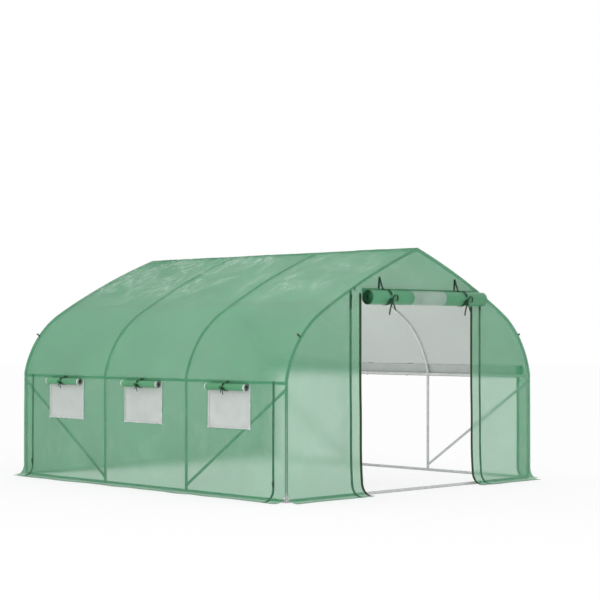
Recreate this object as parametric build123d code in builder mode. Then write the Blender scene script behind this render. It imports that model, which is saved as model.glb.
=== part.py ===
# A walk-in polytunnel: four bent steel hoops under a film cover, with its door and one side rolled up.
# The door end faces -Y, the closed side with the windows faces -X, and the ground is z = 0.
from build123d import *
from math import acos, atan2, cos, degrees, hypot, radians, sin, sqrt
import os

# Overall size, measured over the cover and without the ground flaps
tunnel_width = 2997.2
tunnel_length = 3467.1
tunnel_height = 2000.3

# Bent hoops of steel tube, drawn with flats so that the long bends stay light
tube_diameter = 25.0
tube_side_count = 8
leg_height = 937.0
shoulder_radius = 832.0
shoulder_lean_angle = 12.5
rafter_angle = 10.5
inner_hoop_spread = 1080.0

# Straight tubes between the hoops
purlin_drop = 25.0
brace_setback = 45.0

# Film cover
cover_thickness = 2.0
seam_drop = 18.0
end_strip_width = 147.0
flap_radius = 97.0
flap_lip = 23.0

# Room left between a piece and its seat, and overrun of a cut
seat_gap = 0.3
overrun = 5.0

# Door end
door_clear_width = 1354.0
door_head_margin = 95.7
door_strip_width = 120.0
door_zip_margin = 10.0

# Zips and edge tapes
zip_width = 16.0
zip_thickness = 1.5

# Windows in the closed side
window_count = 3
window_width = 488.0
window_height = 335.0
window_top_margin = 10.0
window_pitch = 1080.0

# Rolled-up door
door_panel_width = 1420.0
door_roll_radius = 63.0
door_roll_drop = 29.0
door_roll_shift = 42.0
door_roll_tail = 72.0
door_tie_spread = 930.0
door_tie_reach = 166.0

# Rolled-up window flaps
window_flap_width = 470.0
window_roll_radius = 31.0
window_roll_drop = 11.0
window_roll_tail = 34.0
window_tie_reach = 38.0

# Rolled-up side
side_roll_radius = 50.0
side_roll_rise = 64.0
side_roll_tail = 60.0
side_tie_shares = (-0.726, -0.162, 0.162, 0.726)
side_tie_reach = 62.0

# Winding of the rolls and the ties that hold them
roll_core_radius = 11.0
roll_turn_count = 2
tie_width = 10.0
tie_thickness = 1.5
tie_wrap_angle = 325.0

# Worked-out frame lines
half_width = tunnel_width / 2
half_length = tunnel_length / 2
tube_radius = tube_diameter / 2
cope_radius = tube_radius + seat_gap
tube_inset = cover_thickness + seat_gap + tube_radius
leg_x = half_width - tube_inset
end_hoop_y = half_length - tube_inset
inner_hoop_y = inner_hoop_spread / 2
hoop_places = (-end_hoop_y, -inner_hoop_y, inner_hoop_y, end_hoop_y)
purlin_z = leg_height - purlin_drop
rail_z = tube_radius
inside_half_length = half_length - cover_thickness

# The shoulder bend leans in from the leg and runs on into the rafter's flatter bend, which ends at the ridge
shoulder_x = half_width - shoulder_radius * cos(radians(shoulder_lean_angle))
shoulder_z = leg_height - shoulder_radius * sin(radians(shoulder_lean_angle))
half_bow = radians(rafter_angle) / 2
ridge_bearing = atan2(tunnel_height - shoulder_z, -shoulder_x)
ridge_reach = hypot(shoulder_x, tunnel_height - shoulder_z)
joint_bearing = ridge_bearing - acos(shoulder_radius * cos(half_bow) / ridge_reach) - half_bow
joint_x = shoulder_x + shoulder_radius * cos(joint_bearing)
joint_z = shoulder_z + shoulder_radius * sin(joint_bearing)
rafter_radius = hypot(joint_x, tunnel_height - joint_z) / (2 * sin(half_bow))
rafter_x = joint_x - rafter_radius * cos(joint_bearing)
rafter_z = joint_z - rafter_radius * sin(joint_bearing)
shoulder_turn = degrees(joint_bearing)
bend_turn = shoulder_turn - shoulder_lean_angle

# Worked-out cover lines
seam_z = purlin_z - seam_drop
flap_top = flap_radius + cover_thickness
zip_top = purlin_z + tube_radius
zip_y = inside_half_length - end_strip_width
door_edge_x = door_clear_width / 2


def bend_start(inset):
    return degrees(acos((half_width - inset - shoulder_x) / (shoulder_radius - inset)))


def roof_height(x):
    return rafter_z + sqrt(rafter_radius ** 2 - (x - rafter_x) ** 2)


def ridge_turn(radius):
    return degrees(acos(-rafter_x / radius)) - shoulder_turn


door_head = roof_height(door_edge_x) - door_head_margin
window_top = seam_z - window_top_margin
window_middle = window_top - window_height / 2
window_places = [(i - (window_count - 1) / 2) * window_pitch for i in range(window_count)]

os.makedirs("parts", exist_ok=True)


def save(piece, name):
    piece.label = name
    export_step(piece, f"parts/{name}.step")


def mirrored(piece, about):
    with BuildPart() as copy:
        mirror(piece, about=about)
    return copy.part


# Frame: hoops

def bent_tubes(side, centre_x, centre_z, radius, start, turn):
    with BuildPart() as bends:
        for place in hoop_places:
            with BuildLine(Plane.XZ.offset(-place)) as path:
                if side > 0:
                    CenterArc((centre_x, centre_z), radius, start, turn)
                else:
                    CenterArc((-centre_x, centre_z), radius, 180 - start, -turn)
            with BuildSketch(Plane(origin=path.line @ 0, z_dir=path.line % 0)):
                RegularPolygon(tube_radius, tube_side_count)
            sweep()
    return bends.part


# The leg and the shoulder bend meet in a mitre at the height where their middle lines cross
tube_bend_radius = shoulder_radius - tube_inset
tube_bend_start = bend_start(tube_inset)
mitre_z = shoulder_z + tube_bend_radius * sin(radians(tube_bend_start))


def mitre(side):
    lean = radians(tube_bend_start) / 2
    return Plane(origin=(side * leg_x, 0, mitre_z), z_dir=(-side * sin(lean), 0, cos(lean)))


def shoulder_tubes(side):
    start = tube_bend_start - degrees(overrun / tube_bend_radius)
    with BuildPart() as bends:
        add(bent_tubes(side, shoulder_x, shoulder_z, tube_bend_radius, start, shoulder_turn - start))
        split(bisect_by=mitre(side), keep=Keep.TOP)
    return bends.part


def rafter_tubes(side):
    radius = rafter_radius - tube_inset
    past_ridge = ridge_turn(radius) + degrees(2 * tube_radius / radius)
    with BuildPart() as rafters:
        add(bent_tubes(side, rafter_x, rafter_z, radius, shoulder_turn, past_ridge))
        split(bisect_by=Plane.YZ, keep=Keep.TOP if side > 0 else Keep.BOTTOM)
    return rafters.part


def leg_tubes(side, section):
    with BuildPart() as legs:
        with BuildSketch():
            with Locations(*[(side * leg_x, place) for place in hoop_places]):
                RegularPolygon(section, tube_side_count)
        extrude(amount=mitre_z + overrun)
        split(bisect_by=mitre(side), keep=Keep.BOTTOM)
    return legs.part


sides = {"left": -1, "right": 1}
for name, side in sides.items():
    save(leg_tubes(side, tube_radius), f"{name}_legs")
    save(shoulder_tubes(side), f"{name}_shoulder_bends")
    save(rafter_tubes(side), f"{name}_rafters")


# Frame: straight tubes, with their ends coped to the hoops

def run_tube(start, end, section):
    run = Vector(*end) - Vector(*start)
    with BuildPart() as tube:
        with BuildSketch(Plane(origin=start, z_dir=run)):
            RegularPolygon(section, tube_side_count)
        extrude(amount=run.length)
    return tube.part


ridge_z = rafter_z + sqrt((rafter_radius - tube_inset) ** 2 - rafter_x ** 2)
with BuildPart() as ridge_tube:
    for start, end in zip(hoop_places, hoop_places[1:]):
        add(run_tube((0, start + cope_radius, ridge_z), (0, end - cope_radius, ridge_z), tube_radius))
save(ridge_tube.part, "ridge_tube")


def side_tube(side, z):
    with BuildPart() as tube:
        add(run_tube((side * leg_x, -end_hoop_y, z), (side * leg_x, end_hoop_y, z), tube_radius))
        add(leg_tubes(side, cope_radius), mode=Mode.SUBTRACT)
    return tube.part


def brace_pair(side):
    with BuildPart() as braces:
        for end in (-1, 1):
            top = (side * leg_x, end * end_hoop_y, purlin_z - brace_setback)
            foot = (side * leg_x, end * inner_hoop_y, rail_z + brace_setback)
            add(run_tube(foot, top, tube_radius))
        add(leg_tubes(side, cope_radius), mode=Mode.SUBTRACT)
    return braces.part


for name, side in sides.items():
    save(side_tube(side, purlin_z), f"{name}_purlin")
    save(side_tube(side, rail_z), f"{name}_ground_rail")
    save(brace_pair(side), f"{name}_braces")


def end_rail(end):
    with BuildPart() as rail:
        add(run_tube((-leg_x, end * end_hoop_y, rail_z), (leg_x, end * end_hoop_y, rail_z), tube_radius))
        for side in sides.values():
            add(leg_tubes(side, cope_radius), mode=Mode.SUBTRACT)
            rail_start = (side * leg_x, -half_length, rail_z)
            rail_end = (side * leg_x, half_length, rail_z)
            add(run_tube(rail_start, rail_end, cope_radius), mode=Mode.SUBTRACT)
    return rail.part


save(end_rail(-1), "front_ground_rail")
save(end_rail(1), "back_ground_rail")


# Cover: roof and shoulders

with BuildPart() as right_roof:
    with BuildSketch(Plane.XZ):
        with BuildLine():
            inner_radius = rafter_radius - cover_thickness
            outside = CenterArc((rafter_x, rafter_z), rafter_radius, shoulder_turn, ridge_turn(rafter_radius))
            inside = CenterArc((rafter_x, rafter_z), inner_radius, shoulder_turn, ridge_turn(inner_radius))
            Line(outside @ 0, inside @ 0)
            Line(outside @ 1, inside @ 1)
        make_face()
    extrude(amount=inside_half_length, both=True)

with BuildPart() as right_shoulder:
    with BuildSketch(Plane.XZ):
        with BuildLine():
            centre = (shoulder_x, shoulder_z)
            outside = CenterArc(centre, shoulder_radius, shoulder_lean_angle, bend_turn)
            start = bend_start(cover_thickness)
            inside = CenterArc(centre, shoulder_radius - cover_thickness, start, shoulder_turn - start)
            Line(outside @ 1, inside @ 1)
            Polyline(
                outside @ 0,
                (half_width, seam_z),
                (half_width - cover_thickness, seam_z),
                inside @ 0,
            )
        make_face()
    extrude(amount=inside_half_length, both=True)

for piece, name in ((right_roof.part, "roof_cover"), (right_shoulder.part, "shoulder_cover")):
    save(piece, f"right_{name}")
    save(mirrored(piece, Plane.YZ), f"left_{name}")


# Cover: side walls

wall_middle_x = half_width - cover_thickness / 2
wall_middle_z = (seam_z + flap_top) / 2
wall_height = seam_z - flap_top

with BuildPart() as left_wall:
    with Locations((-wall_middle_x, 0, wall_middle_z)):
        Box(cover_thickness, 2 * zip_y, wall_height)
    with Locations(*[(-wall_middle_x, place, window_middle) for place in window_places]):
        Box(cover_thickness + overrun, window_width, window_height, mode=Mode.SUBTRACT)
save(left_wall.part, "left_wall")

with BuildPart() as right_end_strips:
    strip_middle_y = zip_y + end_strip_width / 2
    with Locations(*[(wall_middle_x, end * strip_middle_y, wall_middle_z) for end in (-1, 1)]):
        Box(cover_thickness, end_strip_width, wall_height)
save(right_end_strips.part, "right_end_strips")
save(mirrored(right_end_strips.part, Plane.YZ), "left_end_strips")

with BuildPart() as window_meshes:
    with Locations(*[(-wall_middle_x, place, window_middle) for place in window_places]):
        Box(cover_thickness, window_width - 2 * seat_gap, window_height - 2 * seat_gap)
save(window_meshes.part, "window_meshes")


# Cover: end walls

def arch_outline():
    Line((-half_width, flap_top), (half_width, flap_top))
    for side in (-1, 1):
        Line((side * half_width, flap_top), (side * half_width, leg_height))
    CenterArc((shoulder_x, shoulder_z), shoulder_radius, shoulder_lean_angle, bend_turn)
    CenterArc((rafter_x, rafter_z), rafter_radius, shoulder_turn, ridge_turn(rafter_radius))
    CenterArc((-shoulder_x, shoulder_z), shoulder_radius, 180 - shoulder_turn, bend_turn)
    ridge_start = 180 - shoulder_turn - ridge_turn(rafter_radius)
    CenterArc((-rafter_x, rafter_z), rafter_radius, ridge_start, ridge_turn(rafter_radius))


with BuildPart() as back_wall:
    with BuildSketch(Plane.XZ.offset(-half_length)):
        with BuildLine():
            arch_outline()
        make_face()
    extrude(amount=cover_thickness)
save(back_wall.part, "back_wall")

side_panel_width = half_width - door_edge_x
with BuildPart() as front_right_panel:
    with BuildSketch(Plane.XZ.offset(half_length)):
        with BuildLine():
            arch_outline()
        make_face()
        with Locations((door_edge_x + side_panel_width / 2, tunnel_height / 2)):
            Rectangle(side_panel_width, tunnel_height, mode=Mode.INTERSECT)
    extrude(amount=-cover_thickness)
save(front_right_panel.part, "front_right_panel")
save(mirrored(front_right_panel.part, Plane.YZ), "front_left_panel")

with BuildPart() as front_gable:
    with BuildSketch(Plane.XZ.offset(half_length)):
        with BuildLine():
            arch_outline()
        make_face()
        with Locations((0, door_head + tunnel_height / 2)):
            Rectangle(door_clear_width, tunnel_height, mode=Mode.INTERSECT)
    extrude(amount=-cover_thickness)
save(front_gable.part, "front_gable")


# Cover: a band that runs down a wall and flares out over the ground, drawn in (out, up) from the wall's face

def flared_band(plane, inner, outer, top, width):
    with BuildPart() as band:
        with BuildSketch(plane):
            with BuildLine():
                centre = (flap_radius, flap_top)
                under = CenterArc(centre, flap_radius - inner, 180, 90)
                over = CenterArc(centre, flap_radius - outer, 180, 90)
                reach = flap_radius + flap_lip
                Polyline(under @ 1, (reach, (under @ 1).Y), (reach, (over @ 1).Y), over @ 1)
                if top > flap_top:
                    Polyline(under @ 0, (inner, top), (outer, top), over @ 0)
                else:
                    Line(under @ 0, over @ 0)
            make_face()
        extrude(amount=width / 2, both=True)
    return band.part


def right_face(y):
    return Plane(origin=(half_width, y, 0), x_dir=(1, 0, 0), z_dir=(0, -1, 0))


def left_face(y):
    return Plane(origin=(-half_width, y, 0), x_dir=(-1, 0, 0), z_dir=(0, 1, 0))


def front_face(x):
    return Plane(origin=(x, -half_length, 0), x_dir=(0, -1, 0), z_dir=(-1, 0, 0))


def flap(plane, width):
    return flared_band(plane, -cover_thickness, 0, flap_top, width)


def zip_band(plane, top):
    return flared_band(plane, seat_gap, seat_gap + zip_thickness, top, zip_width)


save(flap(left_face(0), 2 * inside_half_length), "left_flap")
with BuildPart() as right_flaps:
    add(flap(right_face(-strip_middle_y), end_strip_width))
    add(flap(right_face(strip_middle_y), end_strip_width))
save(right_flaps.part, "right_flaps")
with BuildPart() as front_flaps:
    flap_middle_x = door_edge_x + side_panel_width / 2
    add(flap(front_face(-flap_middle_x), side_panel_width))
    add(flap(front_face(flap_middle_x), side_panel_width))
save(front_flaps.part, "front_flaps")
save(mirrored(flap(front_face(0), tunnel_width), Plane.XZ), "back_flap")

with BuildPart() as left_zips:
    zip_middle_y = zip_y + zip_width / 2
    add(zip_band(left_face(-zip_middle_y), zip_top))
    add(zip_band(left_face(zip_middle_y), zip_top))
save(left_zips.part, "left_zips")
save(mirrored(left_zips.part, Plane.YZ), "right_zips")

with BuildPart() as door_zips:
    door_zip_x = door_edge_x + door_strip_width
    door_zip_top = roof_height(door_zip_x + zip_width / 2) - door_zip_margin
    add(zip_band(front_face(-door_zip_x), door_zip_top))
    add(zip_band(front_face(door_zip_x), door_zip_top))
save(door_zips.part, "door_zips")

with BuildPart() as door_edge_tapes:
    tape_x = door_edge_x + zip_width / 2
    add(zip_band(front_face(-tape_x), door_head))
    add(zip_band(front_face(tape_x), door_head))
save(door_edge_tapes.part, "door_edge_tapes")


# Rolls: each is a wound sheet whose tail lies along the wall, drawn in (out, along) from the wall's face

roll_standoff = tie_thickness + 2 * seat_gap


def wound_sheet(plane, radius, tail, width):
    half_turns = 2 * roll_turn_count
    step = (radius - roll_core_radius) / half_turns
    with BuildPart() as roll:
        with BuildSketch(plane):
            with BuildLine():
                for i in range(half_turns):
                    turn_radius = radius - i * step
                    middle = (roll_standoff + radius + (i % 2) * step, 0)
                    start = 180 + 180 * i
                    outside = CenterArc(middle, turn_radius, start, 180)
                    inside = CenterArc(middle, turn_radius - cover_thickness, start, 180)
                    if i == 0:
                        tail_out = roll_standoff + cover_thickness
                        Polyline(outside @ 0, (roll_standoff, tail), (tail_out, tail), inside @ 0)
                Line(outside @ 1, inside @ 1)
            make_face()
        extrude(amount=width / 2, both=True)
    return roll.part


def tie_strap(plane, radius, reach):
    with BuildPart() as strap:
        with BuildSketch(plane):
            with BuildLine():
                middle = (roll_standoff + radius, 0)
                inside = CenterArc(middle, radius + seat_gap, 180, tie_wrap_angle)
                outside = CenterArc(middle, radius + seat_gap + tie_thickness, 180, tie_wrap_angle)
                Polyline(inside @ 0, (seat_gap + tie_thickness, reach), (seat_gap, reach), outside @ 0)
                Line(inside @ 1, outside @ 1)
            make_face()
        extrude(amount=tie_width / 2, both=True)
    return strap.part


def raised(plane, z):
    return Plane(origin=plane.origin + Vector(0, 0, z), x_dir=plane.x_dir, z_dir=plane.z_dir)


door_roll_z = door_head - door_roll_drop
save(wound_sheet(raised(front_face(door_roll_shift), door_roll_z), door_roll_radius, door_roll_tail,
                 door_panel_width), "door_roll")
with BuildPart() as door_ties:
    for side in (-1, 1):
        tie_face = front_face(side * door_tie_spread / 2)
        add(tie_strap(raised(tie_face, door_roll_z), door_roll_radius, door_tie_reach))
save(door_ties.part, "door_ties")

window_roll_z = window_top - window_roll_drop
with BuildPart() as window_rolls:
    for place in window_places:
        add(wound_sheet(raised(left_face(place), window_roll_z), window_roll_radius, window_roll_tail,
                        window_flap_width))
save(window_rolls.part, "window_rolls")
with BuildPart() as window_ties:
    for place in window_places:
        add(tie_strap(raised(left_face(place), window_roll_z), window_roll_radius, window_tie_reach))
save(window_ties.part, "window_ties")


# The rolled-up side lies above its seam, so its roll and ties are drawn with their tails down

def hung_face(y):
    return Plane(origin=(half_width, y, seam_z + side_roll_rise), x_dir=(1, 0, 0), z_dir=(0, 1, 0))


side_roll = wound_sheet(hung_face(0), side_roll_radius, side_roll_tail, 2 * zip_y)
save(side_roll, "side_roll")
with BuildPart() as side_ties:
    for share in side_tie_shares:
        add(tie_strap(hung_face(share * zip_y), side_roll_radius, side_tie_reach))
save(side_ties.part, "side_ties")
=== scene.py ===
import bpy
import math
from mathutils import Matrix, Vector, noise


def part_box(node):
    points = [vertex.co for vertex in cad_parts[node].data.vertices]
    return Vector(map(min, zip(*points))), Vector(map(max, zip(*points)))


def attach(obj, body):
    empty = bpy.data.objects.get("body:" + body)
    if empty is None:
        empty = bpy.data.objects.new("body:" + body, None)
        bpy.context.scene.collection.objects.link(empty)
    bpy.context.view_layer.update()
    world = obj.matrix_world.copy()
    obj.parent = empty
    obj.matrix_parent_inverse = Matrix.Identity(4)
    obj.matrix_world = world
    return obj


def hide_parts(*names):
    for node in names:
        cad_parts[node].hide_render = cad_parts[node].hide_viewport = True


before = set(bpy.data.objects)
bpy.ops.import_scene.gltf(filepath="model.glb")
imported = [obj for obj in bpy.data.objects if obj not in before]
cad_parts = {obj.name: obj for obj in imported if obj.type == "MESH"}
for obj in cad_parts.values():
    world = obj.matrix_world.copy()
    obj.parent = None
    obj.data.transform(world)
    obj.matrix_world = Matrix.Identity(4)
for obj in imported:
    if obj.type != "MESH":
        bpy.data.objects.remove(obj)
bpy.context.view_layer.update()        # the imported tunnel: tubes, cover, rolls and ties, in metres


# Small helpers

xAxis, yAxis = 0, 1
xWay, yWay, zWay = Vector((1, 0, 0)), Vector((0, 1, 0)), Vector((0, 0, 1))
sides = {"left": -1, "right": 1}
pieceGap = 0.001         # parts of a node that lie closer than this are one piece


def setMode(mode):
    bpy.ops.object.mode_set(mode=mode)


def clearSelection():
    if bpy.context.mode != "OBJECT":
        setMode("OBJECT")
    bpy.ops.object.select_all(action="DESELECT")


def pick(piece):
    clearSelection()
    piece.select_set(True)
    bpy.context.view_layer.objects.active = piece


def nameNew(name):
    piece = bpy.context.object
    piece.name = piece.data.name = name
    return piece


def editFaces(piece, wanted):
    # edit mode with only the wanted faces selected
    pick(piece)
    setMode("EDIT")
    bpy.ops.mesh.select_mode(type="FACE")
    bpy.ops.mesh.select_all(action="DESELECT")
    setMode("OBJECT")
    for face in piece.data.polygons:
        face.select = wanted(face)
    setMode("EDIT")


def ease(low, high, value):
    t = min(1, max(0, (value - low) / (high - low)))
    return t * t * (3 - 2 * t)


def ripple(a, b, seed):
    return noise.noise(Vector((a, b, seed)))


def ranges(node, axis):
    # the stretches along one axis that a node's separate pieces cover
    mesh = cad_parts[node].data
    spans = []
    for face in mesh.polygons:
        places = [mesh.vertices[corner].co[axis] for corner in face.vertices]
        spans.append([min(places), max(places)])
    spans.sort()
    found = [spans[0]]
    for low, high in spans[1:]:
        if low > found[-1][1] + pieceGap:
            found.append([low, high])
        found[-1][1] = max(found[-1][1], high)
    return found


# Lines of the tunnel, read from the frame

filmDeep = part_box("left_wall")[1].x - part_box("left_wall")[0].x
wallX = -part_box("left_wall")[0].x
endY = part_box("back_wall")[1].y
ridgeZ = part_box("left_roof_cover")[1].z
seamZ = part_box("left_wall")[1].z
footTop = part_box("left_wall")[0].z
footReach = -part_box("left_flap")[0].x - wallX
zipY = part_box("left_wall")[1].y
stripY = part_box("left_end_strips")[1].y
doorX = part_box("front_gable")[1].x
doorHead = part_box("front_gable")[0].z
hoopLines = [sum(span) / 2 for span in ranges("left_legs", yAxis)]
paneSpans = ranges("window_meshes", yAxis)
paneLow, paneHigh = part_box("window_meshes")[0].z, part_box("window_meshes")[1].z

# The hoop: a leg, a bend that leans in from its top, and a flatter rafter up to the ridge
hoopLine = {"legTop": 0.937, "bendRadius": 0.832, "lean": 12.5, "rafterBow": 10.5}
legTop = hoopLine["legTop"]
bendRadius = hoopLine["bendRadius"]
bendLean = math.radians(hoopLine["lean"])
halfBow = math.radians(hoopLine["rafterBow"]) / 2
bendX = wallX - bendRadius * math.cos(bendLean)
bendZ = legTop - bendRadius * math.sin(bendLean)
bendTurn = math.atan2(ridgeZ - bendZ, -bendX)
bendTurn -= math.acos(bendRadius * math.cos(halfBow) / math.hypot(bendX, ridgeZ - bendZ)) + halfBow
jointX = bendX + bendRadius * math.cos(bendTurn)
jointZ = bendZ + bendRadius * math.sin(bendTurn)
rafterRadius = math.hypot(jointX, ridgeZ - jointZ) / (2 * math.sin(halfBow))
rafterX = jointX - rafterRadius * math.cos(bendTurn)
rafterZ = jointZ - rafterRadius * math.sin(bendTurn)
rafterLong = rafterRadius * 2 * halfBow
bendLong = bendRadius * (bendTurn - bendLean)
archLong = rafterLong + bendLong + legTop - seamZ
footRadius = footTop - filmDeep
footLip = footReach - footRadius
footLong = footLip + footRadius * math.pi / 2


def archPoint(along):
    # place and outward direction on the hoop line, measured over the film from the ridge
    side = -1 if along < 0 else 1
    far = abs(along)
    if far < rafterLong:
        turn = bendTurn + 2 * halfBow - far / rafterRadius
        out = Vector((math.cos(turn), math.sin(turn)))
        point = Vector((rafterX, rafterZ)) + rafterRadius * out
    elif far < rafterLong + bendLong:
        turn = bendTurn - (far - rafterLong) / bendRadius
        out = Vector((math.cos(turn), math.sin(turn)))
        point = Vector((bendX, bendZ)) + bendRadius * out
    else:
        out = Vector((1, 0))
        point = Vector((wallX, legTop - (far - rafterLong - bendLong)))
    return Vector((side * point.x, point.y)), Vector((side * out.x, out.y))


def archHeight(x):
    x = min(abs(x), wallX)
    if x < jointX:
        return rafterZ + math.sqrt(rafterRadius ** 2 - (x - rafterX) ** 2)
    return bendZ + math.sqrt(bendRadius ** 2 - (x - bendX) ** 2)


def footPoint(along):
    # out, up and outward direction on a wall, measured over the film from the flap's edge
    if along < footLip:
        return footReach - along, filmDeep, 0, 1
    if along < footLong:
        turn = (along - footLip) / footRadius
        out = footRadius * (1 - math.sin(turn))
        return out, footTop - footRadius * math.cos(turn), math.sin(turn), math.cos(turn)
    return 0, footTop + along - footLong, 1, 0


print("frame read: arch", round(2 * archLong, 3), "m over the film")


# Finishes

def newFinish(name, colour, roughness, **sockets):
    finish = bpy.data.materials.new(name)
    finish.use_nodes = True
    shader = finish.node_tree.nodes["Principled BSDF"]
    shader.inputs["Base Color"].default_value = (*colour, 1)
    shader.inputs["Roughness"].default_value = roughness
    for socket, value in sockets.items():
        shader.inputs[socket].default_value = value
    return finish, shader


def addNode(owner, kind, settings, **sockets):
    # the owner is a material or the world
    node = owner.node_tree.nodes.new("ShaderNode" + kind)
    for name, value in settings.items():
        setattr(node, name, value)
    for name, value in sockets.items():
        node.inputs[name].default_value = value
    return node


def wire(owner, source, output, target, socket):
    owner.node_tree.links.new(source.outputs[output], target.inputs[socket])


def feed(owner, node, terms):
    # each term is a number or a (node, output) pair, in the order of the node's sockets
    for socket, term in enumerate(terms):
        if isinstance(term, tuple):
            wire(owner, *term, node, socket)
        else:
            node.inputs[socket].default_value = term
    return node


def addMath(owner, operation, *terms):
    return feed(owner, addNode(owner, "Math", {"operation": operation}), terms)


def addBlend(owner, share, first, second):
    return feed(owner, addNode(owner, "MixShader", {}), (share, first, second))


def addRamp(finish, source, output, stops):
    ramp = addNode(finish, "ValToRGB", {})
    for place, (position, colour) in enumerate(stops):
        if place > 1:
            ramp.color_ramp.elements.new(position)
        ramp.color_ramp.elements[place].position = position
        ramp.color_ramp.elements[place].color = (*colour, 1)
    wire(finish, source, output, ramp, "Fac")
    return ramp


mixSocket = {"factor": 0, "first": 6, "second": 7, "result": 2}      # a mix node's sockets for colours


def addMix(finish, factor, first, second, blend="MIX"):
    # factor is a node or None; first and second are nodes or colours
    mix = addNode(finish, "Mix", {"data_type": "RGBA", "blend_type": blend})
    mix.inputs[mixSocket["factor"]].default_value = 1
    if factor:
        wire(finish, factor, 0, mix, mixSocket["factor"])
    for socket, value in ((mixSocket["first"], first), (mixSocket["second"], second)):
        if isinstance(value, tuple):
            mix.inputs[socket].default_value = (*value, 1)
        else:
            isMix = value.bl_idname == "ShaderNodeMix"
            wire(finish, value, mixSocket["result"] if isMix else 0, mix, socket)
    return mix


def addColour(finish, shader, colour, tint=None):
    mix = addMix(finish, None, colour, tint, "MULTIPLY") if tint else colour
    wire(finish, mix, mixSocket["result"], shader, "Base Color")


def addBump(finish, shader, sources):
    # one bump after another: (node, output, strength, distance)
    last = None
    for node, output, strength, distance in sources:
        bump = addNode(finish, "Bump", {}, Strength=strength, Distance=distance)
        wire(finish, node, output, bump, "Height")
        if last:
            wire(finish, last, "Normal", bump, "Normal")
        last = bump
    wire(finish, last, "Normal", shader, "Normal")


def addCloud(finish, scale, detail, dark, light, edge=0.3):
    # soft clouds in the piece's own metres, and the tint they make
    place = addNode(finish, "TexCoord", {})
    cloud = addNode(finish, "TexNoise", {}, Scale=scale, Detail=detail)
    wire(finish, place, "Object", cloud, "Vector")
    return cloud, addRamp(finish, cloud, "Fac", [(edge, dark), (1 - edge, light)])


waveRate = 20            # radians that a wave texture turns over a metre at scale 1
threadFull = 0.97        # height of the wave from which it is all thread


def addThreads(finish, pitch, sharp):
    # woven threads both ways, from the sheet's own flat UV in metres
    flat = addNode(finish, "TexCoord", {})
    threads = addNode(finish, "Math", {"operation": "MAXIMUM"})
    for socket, direction in enumerate(("X", "Y")):
        wave = addNode(finish, "TexWave", {"wave_type": "BANDS", "bands_direction": direction},
                       Scale=math.tau / (waveRate * pitch), Distortion=0.0)
        wire(finish, flat, "UV", wave, "Vector")
        wire(finish, wave, "Fac", threads, socket)
    return addRamp(finish, threads, "Value", [(sharp, (0, 0, 0)), (threadFull, (1, 1, 1))])


def shade(colour, share):
    return tuple(min(1, c * share) for c in colour)


filmLook = {
    "clear": (0.003, 0.480, 0.160),      # film between the threads
    "thread": (0.012, 0.548, 0.208),
    "inside": (0.375, 0.387, 0.381),
    "insideThread": 1.12,                # how much paler the threads are inside
    # pale crease colour: partly the whitening of folded film, partly painted highlight on the wrinkles
    "creaseSheenColour": (0.52, 0.95, 0.66),
    "sockets": {"Specular IOR Level": 0.03},
    "solid": 0.396,                      # share of each face that stops light, outside and inside
    "roofSolid": 0.425,                  # the same on the outside of the roof
    "haze": 0.17,                        # blurs what stands well behind the film
    "bend": 1.3,
    "roughness": 0.42,
    "threadPitch": 0.011,
    "threadSharp": 0.80,
}


def addCreaseSheen(finish, place, flat, far, creaseSheen):
    # pale crease lines that fade out down the sheet, partly the whitening of folded film and partly painted
    # highlight on the wrinkles, with a soft painted sheen between them: their share at each spot, and the
    # folds
    stretch = addNode(finish, "Mapping", {}, Scale=creaseSheen["stretch"], Rotation=(0, 0, creaseSheen["turn"]))
    wire(finish, place, "UV", stretch, "Vector")
    fold = addNode(finish, "TexNoise", {}, Scale=creaseSheen["scale"], Detail=2.0, Roughness=0.55,
                   Distortion=0.9)
    wire(finish, stretch, "Vector", fold, "Vector")
    line = addRamp(finish, fold, "Fac", [(0.43, (0, 0, 0)), (0.50, (1, 1, 1)), (0.57, (0, 0, 0))])
    sheenWash = addMath(finish, "MAXIMUM", (line, "Color"), creaseSheen["sheenWash"])      # soft painted sheen, between the creases
    patch = addNode(finish, "TexNoise", {}, Scale=3.1, Detail=2.0)
    wire(finish, place, "UV", patch, "Vector")
    # patches stand thicker towards the back bay
    more = addMath(finish, "MULTIPLY_ADD", (flat, "X"), creaseSheen["lean"], (patch, "Fac"))
    patchy = addRamp(finish, more, "Value", [(0.42, (0, 0, 0)), (0.62, (1, 1, 1))])
    near = addNode(finish, "MapRange", {"interpolation_type": "SMOOTHSTEP"})
    feed(finish, near, [(far, "Value"), creaseSheen["from"], creaseSheen["to"], creaseSheen["most"], 0.0])
    some = addMath(finish, "MULTIPLY", (near, "Result"), (patchy, "Color"))
    return addMath(finish, "MULTIPLY", (some, "Value"), (sheenWash, "Value")), fold


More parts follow.
